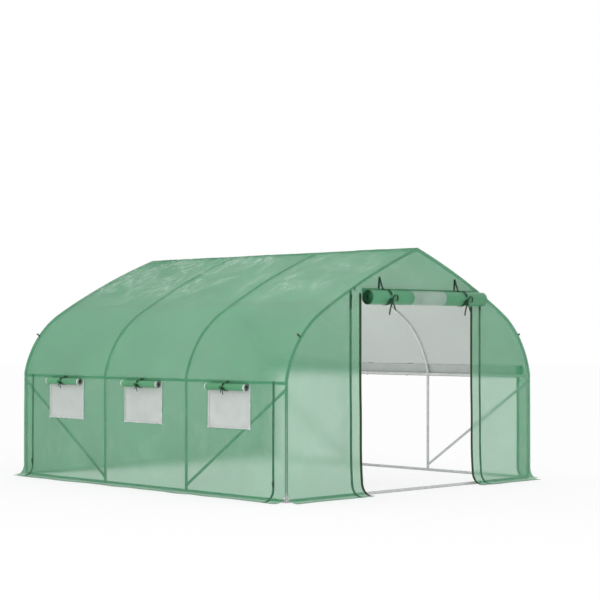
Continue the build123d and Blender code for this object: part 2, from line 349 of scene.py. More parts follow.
def makeFilm(name, outside, creaseSheen=None, weld=None, solid=filmLook["solid"]):
    # woven film: a share of each face is solid, and blurred light passes the rest
    colour = filmLook["clear"] if outside else filmLook["inside"]
    thread = filmLook["thread"] if outside else shade(colour, filmLook["insideThread"])
    finish, shader = newFinish(name, colour, filmLook["roughness"], **filmLook["sockets"])
    threads = addThreads(finish, filmLook["threadPitch"], filmLook["threadSharp"])
    tint = addCloud(finish, scale=1.7, detail=3.0, dark=(0.90, 0.91, 0.90), light=(1.06, 1.05, 1.06))[1]
    woven = addMix(finish, threads, colour, thread)
    shaded = addMix(finish, None, woven, tint, "MULTIPLY")
    bumps = [(threads, "Color", 0.25, 0.0006)]
    place = addNode(finish, "TexCoord", {})
    flat = addNode(finish, "SeparateXYZ", {})
    wire(finish, place, "UV", flat, "Vector")
    far = addMath(finish, "ABSOLUTE", (flat, "Y"))      # way down from the middle of the sheet
    if weld:
        lap = addMath(finish, "COMPARE", (far, "Value"), weld["over"], weld["wide"] / 2)
        shaded = addMix(finish, lap, shaded, weld["colour"])
        bumps.append((lap, "Value", 0.3, 0.0008))
    # pale creases, partly painted highlight, with a soft painted sheen between them towards the ridge
    if creaseSheen:
        pale, fold = addCreaseSheen(finish, place, flat, far, creaseSheen)
        shaded = addMix(finish, pale, shaded, filmLook["creaseSheenColour"])
        bumps.append((fold, "Fac", 0.35, 0.004))
    addColour(finish, shader, shaded)
    addBump(finish, shader, bumps)
    clear = addNode(finish, "BsdfRefraction", {}, Color=(1, 1, 1, 1), Roughness=filmLook["haze"],
                    IOR=filmLook["bend"])
    blend = addBlend(finish, solid, (clear, "BSDF"), (shader, "BSDF"))
    wire(finish, blend, "Shader", finish.node_tree.nodes["Material Output"], "Surface")
    return finish


roofWeld = {"over": 1.10, "wide": 0.018, "colour": (0.004, 0.36, 0.10)}      # lap of two widths of film
# the roof's pale creases are partly painted highlight and carry a soft painted sheen near the ridge; the
# walls' are fainter, with no sheen
roofCreaseSheen = {"scale": 2.2, "stretch": (5.4, 2.0, 1.0), "turn": 0.32, "from": 0.6, "to": 1.25, "most": 1.0,
               "sheenWash": 0.20, "lean": 0.05}
wallCreaseSheen = {"scale": 2.0, "stretch": (2.2, 1.4, 1.0), "turn": 0.3, "from": 0.2, "to": 2.0, "most": 0.14,
               "sheenWash": 0.0, "lean": 0.0}
roofFilm = makeFilm("roof_film", True, roofCreaseSheen, roofWeld, filmLook["roofSolid"])
wallFilm = makeFilm("wall_film", True, wallCreaseSheen)
insideFilm = makeFilm("film_inside", False)

rolledLook = {"roughness": 0.40, "thread": 1.25, "lighter": 0.6}


def makeRolledFilm(name, colour, band=None, axis="X", source="Object", uneven=0.15):
    # many turns of film on each other let no light through; band is another colour on part of it
    finish, shader = newFinish(name, colour, rolledLook["roughness"])
    threads = addThreads(finish, filmLook["threadPitch"], filmLook["threadSharp"])
    dark, light = [1 - uneven] * 3, [1 + uneven * rolledLook["lighter"]] * 3
    cloud, tint = addCloud(finish, scale=6.0, detail=4.0, dark=dark, light=light)
    woven = addMix(finish, threads, colour, shade(colour, rolledLook["thread"]))
    if band:
        place = addNode(finish, "TexCoord", {})
        parts = addNode(finish, "SeparateXYZ", {})
        wire(finish, place, source, parts, "Vector")
        for low, high in band["spans"]:
            after = addMath(finish, "GREATER_THAN", (parts, axis), low)
            before = addMath(finish, "LESS_THAN", (parts, axis), high)
            within = addMath(finish, "MULTIPLY", (after, "Value"), (before, "Value"))
            woven = addMix(finish, within, woven, band["colour"])
    addColour(finish, shader, woven, tint)
    addBump(finish, shader, [(threads, "Color", 0.3, 0.0006), (cloud, "Fac", 0.4, 0.004)])
    return finish


webLook = {
    "sharp": 0.55, "gap": 0.8, "thread": 1.2, "bump": 0.5, "sockets": {"Specular IOR Level": 0.15},
    "cloud": {"scale": 18.0, "detail": 3.0, "dark": (0.72, 0.74, 0.72), "light": (1.15, 1.12, 1.15)},
}
meshLook = {
    "sharp": 0.45, "gap": 0.82, "thread": 1.12, "bump": 0.4, "sockets": {"Alpha": 0.80},
    "cloud": {"scale": 7.0, "detail": 2.0, "edge": 0.35,
              "dark": (0.94, 0.95, 0.94), "light": (1.03, 1.03, 1.03)},
}


def makeWeave(name, look, colour, pitch, roughness):
    # woven tape, webbing or mesh, darker between the threads
    finish, shader = newFinish(name, colour, roughness, **look["sockets"])
    threads = addThreads(finish, pitch, look["sharp"])
    tint = addCloud(finish, **look["cloud"])[1]
    woven = addMix(finish, threads, shade(colour, look["gap"]), shade(colour, look["thread"]))
    addColour(finish, shader, woven, tint)
    addBump(finish, shader, [(threads, "Color", look["bump"], 0.0008)])
    return finish


zipTape = makeWeave("zip_tape", webLook, (0.062, 0.198, 0.110), pitch=0.003, roughness=0.5)
edgeTape = makeWeave("edge_tape", webLook, (0.032, 0.070, 0.024), pitch=0.003, roughness=0.65)
tieWeb = makeWeave("tie_webbing", webLook, (0.020, 0.056, 0.028), pitch=0.0025, roughness=0.7)
hookTape = makeWeave("hook_tape", webLook, (0.72, 0.74, 0.72), pitch=0.002, roughness=0.85)
paneMesh = makeWeave("window_mesh", meshLook, (0.72, 0.76, 0.735), pitch=0.0035, roughness=0.7)

steelLook = {"metal": 0.1, "spangle": 130.0, "pale": 1.12, "dark": 0.86, "smoother": 0.08, "rougher": 0.12}


def makeSteel(name, colour, roughness):
    # galvanised or painted steel: faint cloudy spangle and drawn streaks
    finish, shader = newFinish(name, colour, roughness, Metallic=steelLook["metal"])
    place = addNode(finish, "TexCoord", {})
    spangle = addNode(finish, "TexVoronoi", {}, Scale=steelLook["spangle"])
    wire(finish, place, "Object", spangle, "Vector")
    tint = addRamp(finish, spangle, "Distance", [(0.0, shade(colour, steelLook["pale"])),
                                                 (1.0, shade(colour, steelLook["dark"]))])
    streak, dull = addCloud(finish, scale=26.0, detail=4.0,
                            dark=(0.86, 0.86, 0.86), light=(1.05, 1.05, 1.05))
    addColour(finish, shader, tint, dull)
    rough = addNode(finish, "MapRange", {})
    smoothest, roughest = roughness - steelLook["smoother"], roughness + steelLook["rougher"]
    feed(finish, rough, [(streak, "Fac"), 0.0, 1.0, smoothest, roughest])
    wire(finish, rough, "Result", shader, "Roughness")
    addBump(finish, shader, [(streak, "Fac", 0.15, 0.001)])
    return finish


tubeSteel = makeSteel("tube_steel", (0.66, 0.67, 0.665), roughness=0.60)
boltSteel = makeSteel("bolt_steel", (0.045, 0.05, 0.045), roughness=0.55)
sliderPaint = makeSteel("slider_paint", (0.050, 0.175, 0.092), roughness=0.50)
tubeNodes = ["ridge_tube", "front_ground_rail", "back_ground_rail"]
for side in sides:
    for part in ("legs", "shoulder_bends", "rafters", "purlin", "ground_rail", "braces"):
        tubeNodes.append(side + "_" + part)
for name in tubeNodes:
    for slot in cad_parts[name].material_slots:
        slot.material = tubeSteel
print("finishes made,", len(tubeNodes), "tube nodes dressed")


# Sheets: each starts as its flat cut on the ground and is then hung in its place

sheetSmooth = math.radians(50)
filmThick = 0.0012
wallFaces = (wallFilm, insideFilm)


def cutFlat(name, width, length, across, along):
    clearSelection()
    bpy.ops.mesh.primitive_grid_add(x_subdivisions=across, y_subdivisions=along, size=1)
    sheet = nameNew(name)
    setMode("EDIT")
    bpy.ops.transform.resize(value=(width, length, 1))
    setMode("OBJECT")
    return sheet


def hangSheet(sheet, place, outward, deep=filmThick, finishes=wallFaces):
    # outward is the direction that the front faces, or a function that gives it at a point
    mesh = sheet.data
    flat = mesh.uv_layers.active.data
    for loop in mesh.loops:
        flat[loop.index].uv = mesh.vertices[loop.vertex_index].co.xy
    for corner in mesh.vertices:
        corner.co = place(corner.co.x, corner.co.y)
    mesh.update()
    pick(sheet)
    toward = outward if callable(outward) else lambda spot: outward
    if sum(face.area * face.normal.dot(toward(face.center)) for face in mesh.polygons) < 0:
        setMode("EDIT")
        bpy.ops.mesh.select_all(action="SELECT")
        bpy.ops.mesh.flip_normals()
        setMode("OBJECT")
    for finish in finishes:
        mesh.materials.append(finish)
    solid = sheet.modifiers.new("film", "SOLIDIFY")
    solid.thickness = deep
    solid.offset = -1
    solid.material_offset = len(finishes) - 1
    bpy.ops.object.modifier_apply(modifier="film")
    bpy.ops.object.shade_smooth_by_angle(angle=sheetSmooth)
    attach(sheet, "root")
    return sheet


def joinPieces(name, pieces):
    clearSelection()
    for piece in pieces:
        piece.select_set(True)
    bpy.context.view_layer.objects.active = pieces[0]
    bpy.ops.object.join()
    return nameNew(name)


roofCut = {"across": 124, "along": 140, "sag": 0.009, "wrinkle": 0.0035}
roofCalm = {
    "ridge": (0.03, 0.40),       # the sag starts between these ways down from the ridge
    "eave": (0.70, 0.06),        # and ends between these ways up from the eave
    "crown": (0.25, 1.1),        # the wrinkles calm down between these ways from the ridge
    "flank": 0.25,               # to this share
}
longFold = {"rate": 7, "slant": 3, "down": 2.2, "seed": 3.1, "rest": 0.6}
shortFold = {"rate": 17, "down": 6, "seed": 8.4, "share": 0.6}


def roofWrinkle(along, across):
    # long slanting folds with short ones on them
    slanted = along * longFold["rate"] + across * longFold["slant"]
    folds = ripple(slanted, across * longFold["down"] - along, longFold["seed"])
    short = ripple(along * shortFold["rate"], across * shortFold["down"], shortFold["seed"])
    return longFold["rest"] + folds + shortFold["share"] * short


def roofPlace(along, across):
    # the film sags between the hoops, and wrinkles most near the ridge
    point, out = archPoint(across)
    far = abs(across)
    eaveStart, eaveEnd = (archLong - way for way in roofCalm["eave"])
    clear = ease(*roofCalm["ridge"], far) * (1 - ease(eaveStart, eaveEnd, far))
    crown = 1 - ease(*roofCalm["crown"], far)
    lively = roofCalm["flank"] + (1 - roofCalm["flank"]) * crown
    lift = 0
    for low, high in zip(hoopLines, hoopLines[1:]):
        if low < along < high:
            bay = math.sin(math.pi * (along - low) / (high - low))
            lift -= roofCut["sag"] * bay * clear
            lift += roofCut["wrinkle"] * roofWrinkle(along, across) * bay * lively
    return Vector((point.x + out.x * lift, along, point.y + out.y * lift))


roof = cutFlat("roof_sheet", 2 * stripY, 2 * archLong, roofCut["across"], roofCut["along"])
hangSheet(roof, roofPlace, zWay, finishes=(roofFilm, insideFilm))
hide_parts("left_roof_cover", "right_roof_cover", "left_shoulder_cover", "right_shoulder_cover")
print("roof sheet hung")

faceOut = {"left": -xWay, "right": xWay, "front": -yWay, "back": yWay}
faceAlong = {"left": yWay, "right": yWay, "front": xWay, "back": xWay}
faceFar = {"left": wallX, "right": wallX, "front": endY, "back": endY}
faceSeed = {"left": 1.7, "right": 4.2, "front": 6.9, "back": 9.3}
slackLook = {"bulge": 0.0035, "alongRate": 2.3, "upRate": 1.6, "seamFade": 0.3}
leanLook = {"out": 0.026, "top": 0.42, "wide": 0.5}
hemLook = {"wave": 0.007, "rate": 3.7, "seed": 2.2, "rest": 0.5, "wide": 0.11}


def facePoint(face, along, out, up):
    return faceAlong[face] * along + faceOut[face] * (faceFar[face] + out) + zWay * up


def facePlace(face, along, over, lift=0.0):
    # a spot on a wall with its slack, the loose corners beside the door and the wavy hem
    out, up, liftOut, liftUp = footPoint(over)
    seed = faceSeed[face]
    bulge = 1 + ripple(along * slackLook["alongRate"], up * slackLook["upRate"], seed)
    slack = slackLook["bulge"] * bulge * ease(0, slackLook["seamFade"], seamZ - up)
    if face == "front":
        edge = 1 - ease(doorX, doorX + leanLook["wide"], abs(along))
        slack += leanLook["out"] * edge * max(0, 1 - up / leanLook["top"]) ** 2
    hem = max(0, hemLook["rest"] + ripple(along * hemLook["rate"], seed, hemLook["seed"]))
    wave = hemLook["wave"] * hem * (1 - ease(0, hemLook["wide"], over))
    return facePoint(face, along, out + slack + liftOut * lift, up + wave + liftUp * lift)


def wallOver(top):
    return footLong + top - footTop


# closed side, with its windows cut out of the flat sheet
leftCut = {"across": 116, "along": 52}
leftLong = wallOver(seamZ)
leftWall = cutFlat("left_wall_sheet", 2 * zipY, leftLong, leftCut["across"], leftCut["along"])
sillOver, headOver = wallOver(paneLow), wallOver(paneHigh)
setMode("EDIT")
cutLines = [((edge, 0, 0), (1, 0, 0)) for span in paneSpans for edge in span]
cutLines += [((0, over - leftLong / 2, 0), (0, 1, 0)) for over in (sillOver, headOver)]
for point, direction in cutLines:
    bpy.ops.mesh.select_all(action="SELECT")
    bpy.ops.mesh.bisect(plane_co=point, plane_no=direction)
setMode("OBJECT")


def inPane(face):
    across = any(low < face.center.x < high for low, high in paneSpans)
    return across and sillOver < face.center.y + leftLong / 2 < headOver


editFaces(leftWall, inPane)
bpy.ops.mesh.delete(type="FACE")
setMode("OBJECT")
hangSheet(leftWall, lambda a, b: facePlace("left", a, b + leftLong / 2), faceOut["left"])
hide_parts("left_wall", "left_flap")

# end strips beside the zips, on both sides
stripCut = {"across": 6, "along": 52}
stripWide = stripY - zipY
for face in sides:
    for end, sign in (("front", -1), ("back", 1)):
        name = face + "_" + end + "_strip"
        strip = cutFlat(name, stripWide, leftLong, stripCut["across"], stripCut["along"])
        middle = sign * (zipY + stripWide / 2)
        hangSheet(strip, lambda a, b: facePlace(face, a + middle, b + leftLong / 2), faceOut[face])
        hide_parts(face + "_end_strips", "left_flap" if face == "left" else "right_flaps")

# back wall, panels beside the door, and the gable over it
endCut = {"footShare": 0.28, "backAcross": 110, "panelAcross": 44, "along": 60}
backFlat = footLong + ridgeZ - footTop


def endPlace(face, x, share):
    # the rows of a sheet go over the foot first and then up to the arch
    foot = endCut["footShare"]
    if share < foot:
        return facePlace(face, x, footLong * share / foot)
    rest = (share - foot) / (1 - foot)
    return facePlace(face, x, footLong + rest * (wallOver(archHeight(x)) - footLong))


def bunch(share):
    # the columns stand closer together towards the eaves
    return math.sin(share * math.pi / 2)


def archArea(low, high, floor):
    steps = 400
    wide = (high - low) / steps
    return sum((archHeight(low + (i + 0.5) * wide) - floor) * wide for i in range(steps))


backWall = cutFlat("back_wall_sheet", 2 * wallX, backFlat, endCut["backAcross"], endCut["along"])
hangSheet(backWall, lambda a, b: endPlace("back", wallX * bunch(a / wallX), b / backFlat + 0.5),
          faceOut["back"])
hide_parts("back_wall", "back_flap")
archArea(-wallX, wallX, footTop) + 2 * wallX * footLong

panelWide = wallX - doorX
panelFlat = footLong + archHeight(doorX) - footTop


def panelPlace(sign, a, b):
    x = doorX + panelWide * bunch(a / panelWide + 0.5)
    return endPlace("front", sign * x, b / panelFlat + 0.5)


for side, sign in sides.items():
    name = "front_" + side + "_sheet"
    panel = cutFlat(name, panelWide, panelFlat, endCut["panelAcross"], endCut["along"])
    hangSheet(panel, lambda a, b: panelPlace(sign, a, b), faceOut["front"])
    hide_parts("front_" + side + "_panel", "front_flaps")
    archArea(doorX, wallX, footTop) + panelWide * footLong

gableCut = {"across": 48, "along": 14, "slack": 0.001, "alongRate": 4, "upRate": 6, "seed": 5.5}
gableHigh = ridgeZ - doorHead


def gablePlace(a, b):
    slack = 1 + ripple(a * gableCut["alongRate"], b * gableCut["upRate"], gableCut["seed"])
    up = doorHead + (b / gableHigh + 0.5) * (archHeight(a) - doorHead)
    return facePoint("front", a, gableCut["slack"] * slack, up)


gable = cutFlat("gable_sheet", 2 * doorX, gableHigh, gableCut["across"], gableCut["along"])
hangSheet(gable, gablePlace, faceOut["front"])
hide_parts("front_gable")
archArea(-doorX, doorX, doorHead)
print("wall sheets hung")


# Rolls: the whole length of each sheet wound on itself

rolledGreen = (0.060, 0.265, 0.126)
# painted shade on the inner faces of the rolls, standing for the shade between the turns
paintedTurnShade = (0.014, 0.040, 0.014)
rollLook = {"core": 0.010, "lumpRate": 5, "lumpTurn": 1.3, "creepRate": 0.35, "creepSeed": 1.0,
            "shown": 0.02}      # green goes this far past the tail
farOff = 9.0             # past the edge of any sheet


def woundPlace(roll, along, over):
    # over is measured from the sewn edge, along the wall and round into the roll
    wound = over - roll["tail"]
    sign, radius = roll["sign"], roll["radius"]
    if wound < 0:
        return facePoint(roll["face"], along, roll["out"], roll["up"] - sign * wound)
    pitch = roll["pitch"]
    turn = (radius - math.sqrt(radius ** 2 - pitch * wound / math.pi)) * math.tau / pitch
    far = radius - pitch * turn / math.tau
    wobble = math.cos(turn) * rollLook["lumpTurn"] + math.sin(turn)
    far *= 1 + roll["lump"] * ripple(along * rollLook["lumpRate"], wobble, roll["seed"])
    creep = roll["creep"] * ripple(turn * rollLook["creepRate"], roll["seed"], rollLook["creepSeed"])
    creep *= (along - roll["middle"]) / roll["half"]
    out = roll["out"] + radius - far * math.cos(turn)
    return facePoint(roll["face"], along + creep, out, roll["up"] - sign * far * math.sin(turn))


def shadedInside(name, roll):
    # painted shade: the inner face is dark for the shade between the turns, and green on the tail next to
    # the seam
    tailEnd = roll["tail"] + rollLook["shown"] - roll["long"] / 2
    tail = {"spans": [(-farOff, tailEnd)], "colour": rolledGreen}
    return makeRolledFilm(name + "_inside", paintedTurnShade, tail, "Y", "UV")


def windSheet(name, roll, finish):
    mean = (roll["radius"] + rollLook["core"]) / 2
    turns = (roll["long"] - roll["tail"]) / (math.tau * mean)
    roll["pitch"] = (roll["radius"] - rollLook["core"]) / turns
    sheet = cutFlat(name, 2 * roll["half"], roll["long"], *roll["cells"])
    axis = facePoint(roll["face"], 0, roll["out"] + roll["radius"], roll["up"])
    across = faceOut[roll["face"]] + zWay
    flat = Vector([abs(c) for c in across])
    hangSheet(sheet, lambda a, b: woundPlace(roll, a + roll["middle"], b + roll["long"] / 2),
              lambda spot: (spot - axis) * flat, finishes=(finish, shadedInside(name, roll)))
    return sheet


def rollFrom(node, face, span, sign, wind):
    # sign is 1 for a roll that hangs under its seam and -1 for one that stands over it
    low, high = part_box(node)
    outAxis = yAxis if face == "front" else xAxis
    radius = (high[outAxis] - low[outAxis]) / 2
    near = {"front": -endY - high.y, "left": -wallX - high.x, "right": low.x - wallX}[face]
    up = low.z + radius if sign > 0 else high.z - radius
    tail = high.z - up if sign > 0 else up - low.z
    middle, half = sum(span) / 2, (span[1] - span[0]) / 2
    return {"face": face, "sign": sign, "middle": middle, "half": half, "out": near, "radius": radius,
            "up": up, "tail": tail, **wind}


doorWind = {"long": 1.613, "lump": 0.02, "creep": 0.006, "seed": 2.6, "cells": (60, 190)}
doorMesh = {"spans": [(-0.175, 0.2225)], "colour": (0.29, 0.42, 0.34)}      # mesh window in the rolled door
doorRollFilm = makeRolledFilm("door_roll_film", rolledGreen, doorMesh)
doorRoll = rollFrom("door_roll", "front", ranges("door_roll", xAxis)[0], 1, doorWind)
doorSheet = windSheet("door_roll_sheet", doorRoll, doorRollFilm)
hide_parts("door_roll")

sideWind = {"long": leftLong, "lump": 0.03, "creep": 0.005, "seed": 7.4, "cells": (90, 130)}
# the side roll is paler than the other rolls: partly the film's pale inner side, partly a painted glow for
# light shining through the rolled film
sideRollPaleGlowFilm = makeRolledFilm("side_roll_pale_glow_film", (0.30, 0.47, 0.37))
sideRoll = rollFrom("side_roll", "right", ranges("side_roll", yAxis)[0], -1, sideWind)
sideSheet = windSheet("side_roll_sheet", sideRoll, sideRollPaleGlowFilm)
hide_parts("side_roll")

windowNames = ("front", "middle", "back")
windowWind = {"long": 0.381, "lump": 0.02, "creep": 0.004, "seed": 3.3, "cells": (28, 66)}
windowSpans = ranges("window_rolls", yAxis)
windowHalf = (windowSpans[0][1] - windowSpans[0][0]) / 2
hookWide = {"back": 0.011, "front": 0.015}      # pale hook tape at the ends of each roll
hookBand = {"spans": [(windowHalf - hookWide["back"], farOff), (-farOff, hookWide["front"] - windowHalf)],
            "colour": (0.72, 0.74, 0.72)}
windowRollFilm = makeRolledFilm("window_roll_film", (0.070, 0.31, 0.135), hookBand, "X", "UV")
windowRolls = []
for place, span in zip(windowNames, windowSpans):
    wind = {**windowWind, "seed": windowWind["seed"] + span[0]}
    windowRoll = rollFrom("window_rolls", "left", span, 1, wind)
    flap = windSheet("window_roll_" + place, windowRoll, windowRollFilm)
    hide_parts("window_rolls")
    windowRolls.append(windowRoll)
print("rolls wound")


# Windows: fine mesh in the openings and a pale hook tape round them

paneCut = {"cells": (24, 18), "lap": 0.010, "deep": 0.0008, "lift": -0.0022}
borderCut = {"cells": (8, 8), "wide": 0.013, "deep": 0.0009, "lift": 0.0011}
for place, (low, high) in zip(windowNames, paneSpans):
    wide, tall = high - low + 2 * paneCut["lap"], headOver - sillOver + 2 * paneCut["lap"]
    middle, centre = (low + high) / 2, (sillOver + headOver) / 2
    pane = cutFlat("window_mesh_" + place, wide, tall, *paneCut["cells"])
    hangSheet(pane, lambda a, b: facePlace("left", a + middle, b + centre, paneCut["lift"]),
              faceOut["left"], paneCut["deep"], [paneMesh])
    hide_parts("window_meshes")
    upright, lying = (borderCut["wide"], tall), (wide, borderCut["wide"])
    edges = []
    for along, over, size in ((low, centre, upright), (high, centre, upright), (middle, sillOver, lying)):
        edge = cutFlat("window_tape", *size, *borderCut["cells"])
        hangSheet(edge, lambda a, b: facePlace("left", a + along, b + over, borderCut["lift"]),
                  faceOut["left"], borderCut["deep"], [hookTape])
        edges.append(edge)
    border = joinPieces("window_border_" + place, edges)
    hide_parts("window_meshes")
print("windows set")


# Strip sewn inside the cover where the rolled side is tied

backingCut = {"wide": 0.112, "cells": (90, 6), "colour": (0.39, 0.41, 0.40), "uneven": 0.05,
              "lift": -0.00125, "deep": 0.0008}


def backingPlace(along, across):
    point, out = archPoint(archLong - backingCut["wide"] / 2 + across)
    spot = point + out * backingCut["lift"]
    return Vector((spot.x, along, spot.y))


backingFilm = makeRolledFilm("side_backing_film", backingCut["colour"], uneven=backingCut["uneven"])
backing = cutFlat("side_backing", 2 * zipY, backingCut["wide"], *backingCut["cells"])
hangSheet(backing, backingPlace, faceOut["right"], backingCut["deep"], [backingFilm])
print("backing strip sewn in")


# Zips and tapes that follow the walls down and out over the flaps

tapeCut = {"cells": (6, 60), "lift": 0.0016, "deep": 0.0012}
zipLook = {"wide": 0.024, "rib": 0.0022, "finish": zipTape, "slot": "zip_tape"}
edgeLook = {"wide": 0.026, "rib": 0.0008, "finish": edgeTape, "slot": "edge_tape"}


def runTape(name, face, span, node, look):
    along = sum(span) / 2
    long = wallOver(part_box(node)[1].z)
    tape = cutFlat(name, look["wide"], long, *tapeCut["cells"])

    def place(a, b):
        # a raised rib covers the middle half
        rib = look["rib"] * max(0, 1 - (4 * a / look["wide"]) ** 2)
        return facePlace(face, along + a, b + long / 2, tapeCut["lift"] + rib)

    hangSheet(tape, place, faceOut[face], tapeCut["deep"], [look["finish"]])
    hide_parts(node)


for face in sides:
    for end, span in zip(("front", "back"), ranges(face + "_zips", yAxis)):
        runTape(face + "_" + end + "_zip", face, span, face + "_zips", zipLook)
for side, span in zip(sides, ranges("door_zips", xAxis)):
    runTape("door_" + side + "_zip", "front", span, "door_zips", zipLook)
for side, span in zip(sides, ranges("door_edge_tapes", xAxis)):
    runTape("door_" + side + "_tape", "front", span, "door_edge_tapes", edgeLook)
print("zips and tapes run")


# Ties: flat webbing round each roll, with a bow in front

def smoothLine(points, steps):
    # an even curve through a few given points
    line = []
    for i in range(len(points) - 1):
        a, b, c, d = (points[min(max(k, 0), len(points) - 1)] for k in (i - 1, i, i + 1, i + 2))
        for step in range(steps):
            t = step / steps
            line.append(0.5 * ((2 * b) + (c - a) * t + (2 * a - 5 * b + 4 * c - d) * t ** 2
                               + (3 * b - a - 3 * c + d) * t ** 3))
    line.append(points[-1])
    return line


strapAcross = 2          # cells over the width of a strap


def strapPiece(name, line, across, wide, deep, finish):
    cells = len(line) - 1
    long = sum((line[i + 1] - line[i]).length for i in range(cells))
    strap = cutFlat(name, wide, long, strapAcross, cells)

    def place(a, b):
        spot = line[min(cells, max(0, round((b / long + 0.5) * cells)))]
        return spot + across * a

    outward = across.cross(line[1] - line[0]).normalized()
    hangSheet(strap, place, outward, deep, [finish])
    return strap


tieLook = {
    "wide": 0.019, "deep": 0.0014,
    "gap": 0.0012,                # between the roll and the strap
    "part": 0.012,                # sideways between the back strap and the front one
    "backOut": 0.0018, "frontOut": 0.0035, "lift": 0.010,
    "backWrap": (-10, -165, 14), "frontWrap": (60, 165, 10),      # degrees round the roll, and steps
    "knotOut": 0.003, "knotCore": 0.006, "knotGrow": 0.0004, "knotWide": 1.1,
    "knotPoints": 10, "knotTurn": 8,      # points on the binding, and points in one turn of it
}
bowLook = {
    "tipOut": 0.004, "bendOut": 0.006, "dropOut": 0.004, "tailOut": 0.002,
    "lap": (0.001, 0.0016, 0.0008),      # the straps cross in the knot one over another
    "shorter": 0.7,                      # length of the second tail against the first
}


def bowLines(knot, step, sign, tails):
    # two loops and two tails from the knot, through listed points
    lines = []
    for way, share in ((-1, 1.0), (1, bowLook["shorter"])):
        tip = step(way * tails["loop"], bowLook["tipOut"], 0)
        bend = step(0, bowLook["bendOut"], sign * tails["loop"] * tails["tilt"] * way)
        drop = step(0, bowLook["dropOut"], -sign * tails["loop"] * 0.35)
        lapAlong, lapOut, lapUp = bowLook["lap"]
        lap = step(way * lapAlong, lapOut, way * lapUp)
        loop = [lap, tip * 0.55 + bend * 0.9, tip + bend * 0.6, tip * 0.9 + bend * 0.2 + drop,
                tip * 0.4 + drop * 0.6, -lap]
        lines.append(smoothLine([knot + point for point in loop], steps=6))
        fall = tails["long"] * share
        spread = way * tails["spread"]
        out = bowLook["tailOut"]
        tail = [lap * 1.7, step(way * tieLook["knotCore"], out / 2, -fall * 0.3),
                step(spread * 0.8, out, -fall * 0.7), step(spread, out, -fall)]
        lines.append(smoothLine([knot + point for point in tail], steps=5))
    return lines


def tieRoll(name, roll, span, reach, tails, node):
    face, sign = roll["face"], roll["sign"]
    along = sum(span) / 2
    axis = faceAlong[face]
    grip = roll["radius"] + tieLook["gap"] + tieLook["deep"]
    centre = roll["out"] + roll["radius"]

    def at(shift, out, up):
        return facePoint(face, along + shift, out, roll["up"] + sign * up)

    def step(shift, out, up):
        return axis * shift + faceOut[face] * out + zWay * up

    def wrap(shift, first, last, steps):
        # round the roll, in degrees from the wall
        turns = [math.radians(first + (last - first) * i / steps) for i in range(steps + 1)]
        return [at(shift, centre - grip * math.cos(t), grip * math.sin(t)) for t in turns]

    # one strap comes down behind the roll and one over its front, and a bow ties them
    part, backOut, lift = tieLook["part"], tieLook["backOut"], tieLook["lift"]
    back = [at(0, backOut, reach), at(-part * 0.5, backOut, reach * 0.6), at(-part, backOut, grip * 0.2)]
    front = [at(0, tieLook["frontOut"], reach), at(part * 0.6, lift, (reach + grip) / 2 + lift)]
    straps = [smoothLine(back + wrap(0, *tieLook["backWrap"]), steps=3),
              smoothLine(front + wrap(part, *tieLook["frontWrap"]), steps=4)]
    knot = at(part, centre + grip * 0.97 + tieLook["knotOut"], -grip * 0.25)
    bows = bowLines(knot, step, sign, tails)
    pieces = []
    for wide, lines in ((tieLook["wide"], straps), (tails["wide"], bows)):
        for line in lines:
            pieces.append(strapPiece(name + "_strap", line, axis, wide, tieLook["deep"], tieWeb))
    bind = []
    for i in range(tieLook["knotPoints"]):
        turn = math.tau * i / tieLook["knotTurn"]
        far = tieLook["knotCore"] + tieLook["knotGrow"] * turn
        bind.append(knot + step(0, far * math.cos(turn), far * math.sin(turn)))
    bind = smoothLine(bind, steps=2)
    wide = tails["wide"] * tieLook["knotWide"]
    pieces.append(strapPiece(name + "_knot", bind, axis, wide, tieLook["deep"], tieWeb))
    tie = joinPieces(name, pieces)
    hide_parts(node)


doorTails = {"loop": 0.058, "tilt": 0.7, "long": 0.125, "spread": 0.034, "wide": 0.016}
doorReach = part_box("door_ties")[1].z - doorRoll["up"]
for side, span in zip(sides, ranges("door_ties", xAxis)):
    tieRoll("door_tie_" + side, doorRoll, span, doorReach, doorTails, "door_ties")
windowTails = {"loop": 0.020, "tilt": 0.7, "long": 0.055, "spread": 0.015, "wide": 0.010}
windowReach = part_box("window_ties")[1].z - windowRolls[0]["up"]
for place, roll, span in zip(windowNames, windowRolls, ranges("window_ties", yAxis)):
    tieRoll("window_tie_" + place, roll, span, windowReach, windowTails, "window_ties")
sideTails = {"loop": 0.040, "tilt": 0.5, "long": 0.080, "spread": 0.025, "wide": 0.012}
sideReach = sideRoll["up"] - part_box("side_ties")[0].z
for count, span in enumerate(ranges("side_ties", yAxis), 1):
    tieRoll("side_tie_" + str(count), sideRoll, span, sideReach, sideTails, "side_ties")
print("ties tied")


# Small fittings: bolts at the shoulders, cross stitches beside the gable, and the zip pulls

boltLook = {"height": 1.269, "sides": 16, "shank": 0.006, "long": 0.025, "bury": 0.004, "head": 0.009,
            "flare": 0.002, "cap": 0.007, "taper": 0.86, "rim": 0.0025, "crown": 0.0012, "soft": 0.0006}
boltSmooth = math.radians(40)
facing = 0.9             # least share of a normal along the wanted direction


def softenEdges(piece, width, **settings):
    bevel = piece.modifiers.new("soft", "BEVEL")
    bevel.width = width
    bevel.segments = 2
    for name, value in settings.items():
        setattr(bevel, name, value)
    bpy.ops.object.modifier_apply(modifier="soft")


